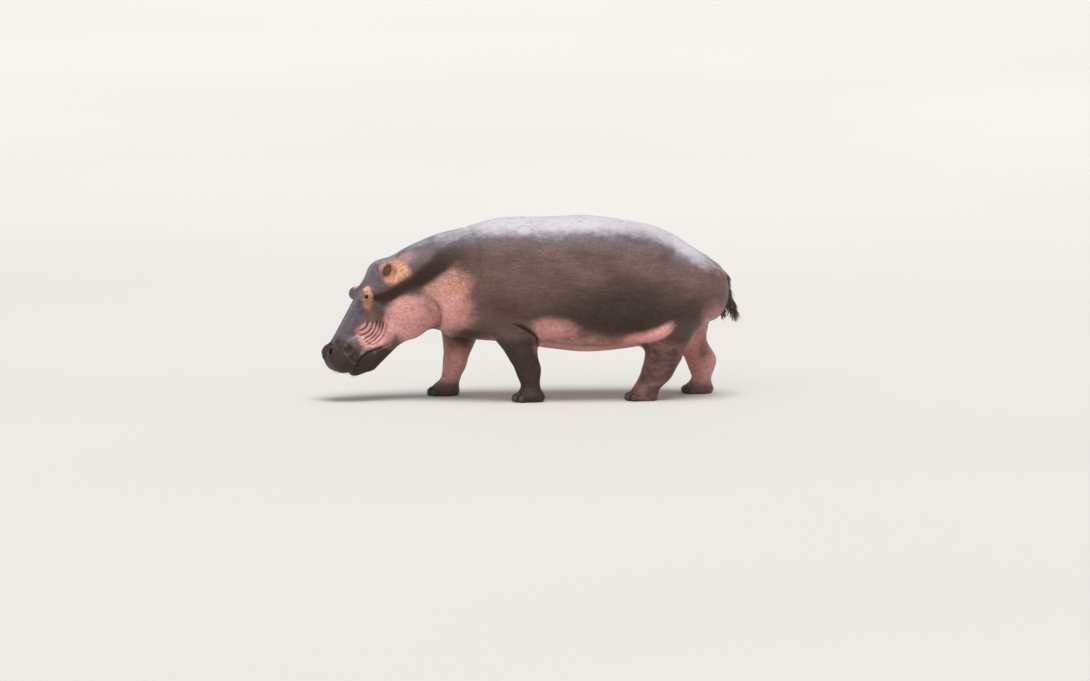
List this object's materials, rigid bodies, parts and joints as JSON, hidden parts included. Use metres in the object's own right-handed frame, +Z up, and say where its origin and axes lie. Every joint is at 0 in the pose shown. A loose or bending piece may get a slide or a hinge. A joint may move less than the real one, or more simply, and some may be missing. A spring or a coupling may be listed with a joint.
{
  "type": "hippopotamus, life-size still model",
  "caption": "Still life-size model of an adult hippopotamus walking with its head held low, standing on flat soles.",
  "frame": {"origin": "on the floor under the middle of the model's box", "axes": "+Z up; -X towards the muzzle; -Y is the animal's left side"},
  "size_m": [3.5276, 1.0874, 1.5474],
  "materials": {
    "body_skin": "bare grey-brown hide, finely wrinkled, satin with a soft sheen along the back, pink on the belly",
    "head_skin": "bare hide, pink on the cheeks and mouth corners, slate on the nose and muzzle, orange-pink round the ear",
    "leg_skin": "bare dark hide, deeply wrinkled at the joints, matt",
    "ear_skin": "thin orange-brown skin with a short fringe of bristles",
    "eye": "wet amber-brown eye with a dark pupil",
    "nail_horn": "short broad toenail, dull dark horn"
  },
  "bodies": {
    "root": {"trunk": "body_skin", "tail": "body_skin", "neck": "body_skin", "head": "head_skin", "lower_jaw": "head_skin", "eye_left": "eye", "eye_right": "eye", "ear_left": "ear_skin", "ear_right": "ear_skin", "front_left_upper_leg": "leg_skin", "front_left_lower_leg": "leg_skin", "front_left_foot": "leg_skin", "front_left_nail_1": "nail_horn", "front_left_nail_2": "nail_horn", "front_left_nail_3": "nail_horn", "front_left_nail_4": "nail_horn", "front_right_upper_leg": "leg_skin", "front_right_lower_leg": "leg_skin", "front_right_foot": "leg_skin", "front_right_nail_1": "nail_horn", "front_right_nail_2": "nail_horn", "front_right_nail_3": "nail_horn", "front_right_nail_4": "nail_horn", "hind_left_upper_leg": "leg_skin", "hind_left_lower_leg": "leg_skin", "hind_left_foot": "leg_skin", "hind_left_nail_1": "nail_horn", "hind_left_nail_2": "nail_horn", "hind_left_nail_3": "nail_horn", "hind_left_nail_4": "nail_horn", "hind_right_upper_leg": "leg_skin", "hind_right_lower_leg": "leg_skin", "hind_right_foot": "leg_skin", "hind_right_nail_1": "nail_horn", "hind_right_nail_2": "nail_horn", "hind_right_nail_3": "nail_horn", "hind_right_nail_4": "nail_horn"}
  },
  "joints": []
}
